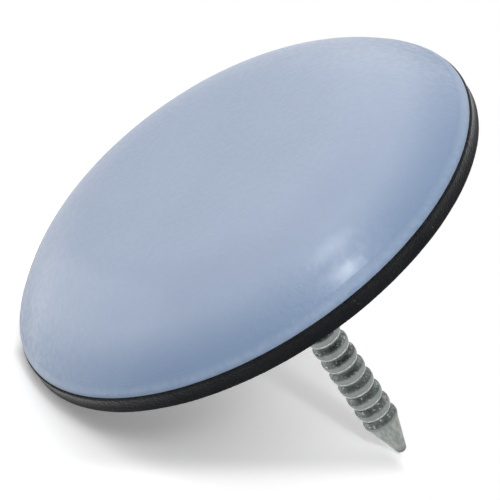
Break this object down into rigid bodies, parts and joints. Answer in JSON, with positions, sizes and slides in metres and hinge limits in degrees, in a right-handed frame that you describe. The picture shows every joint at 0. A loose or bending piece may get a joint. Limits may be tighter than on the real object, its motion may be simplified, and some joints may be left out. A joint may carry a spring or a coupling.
{
  "type": "furniture slider",
  "caption": "Round domed low-friction slider with a rubber cushion pad on its back and a ring-shank nail that fixes it under a furniture leg.",
  "frame": {"origin": "centre of the flat sliding face, which stands on the floor", "axes": "+Z along the nail, from the floor up into the furniture leg; X and Y lie in the floor and are alike, because the part is round"},
  "size_m": [0.0302, 0.0302, 0.0243],
  "materials": {
    "cap_plastic": "satin grey-blue PTFE-filled plastic with faint scuffs",
    "nail_steel": "dull mottled galvanised steel, rubbed bright on the ring crests",
    "bond_film": "thin pressure-sensitive adhesive film",
    "pad_rubber": "matte black cellular rubber with a die-cut edge"
  },
  "bodies": {
    "root": {"slide_cap": "cap_plastic", "ring_nail": "nail_steel", "pad_bond": "bond_film", "cushion_pad": "pad_rubber"}
  },
  "joints": []
}
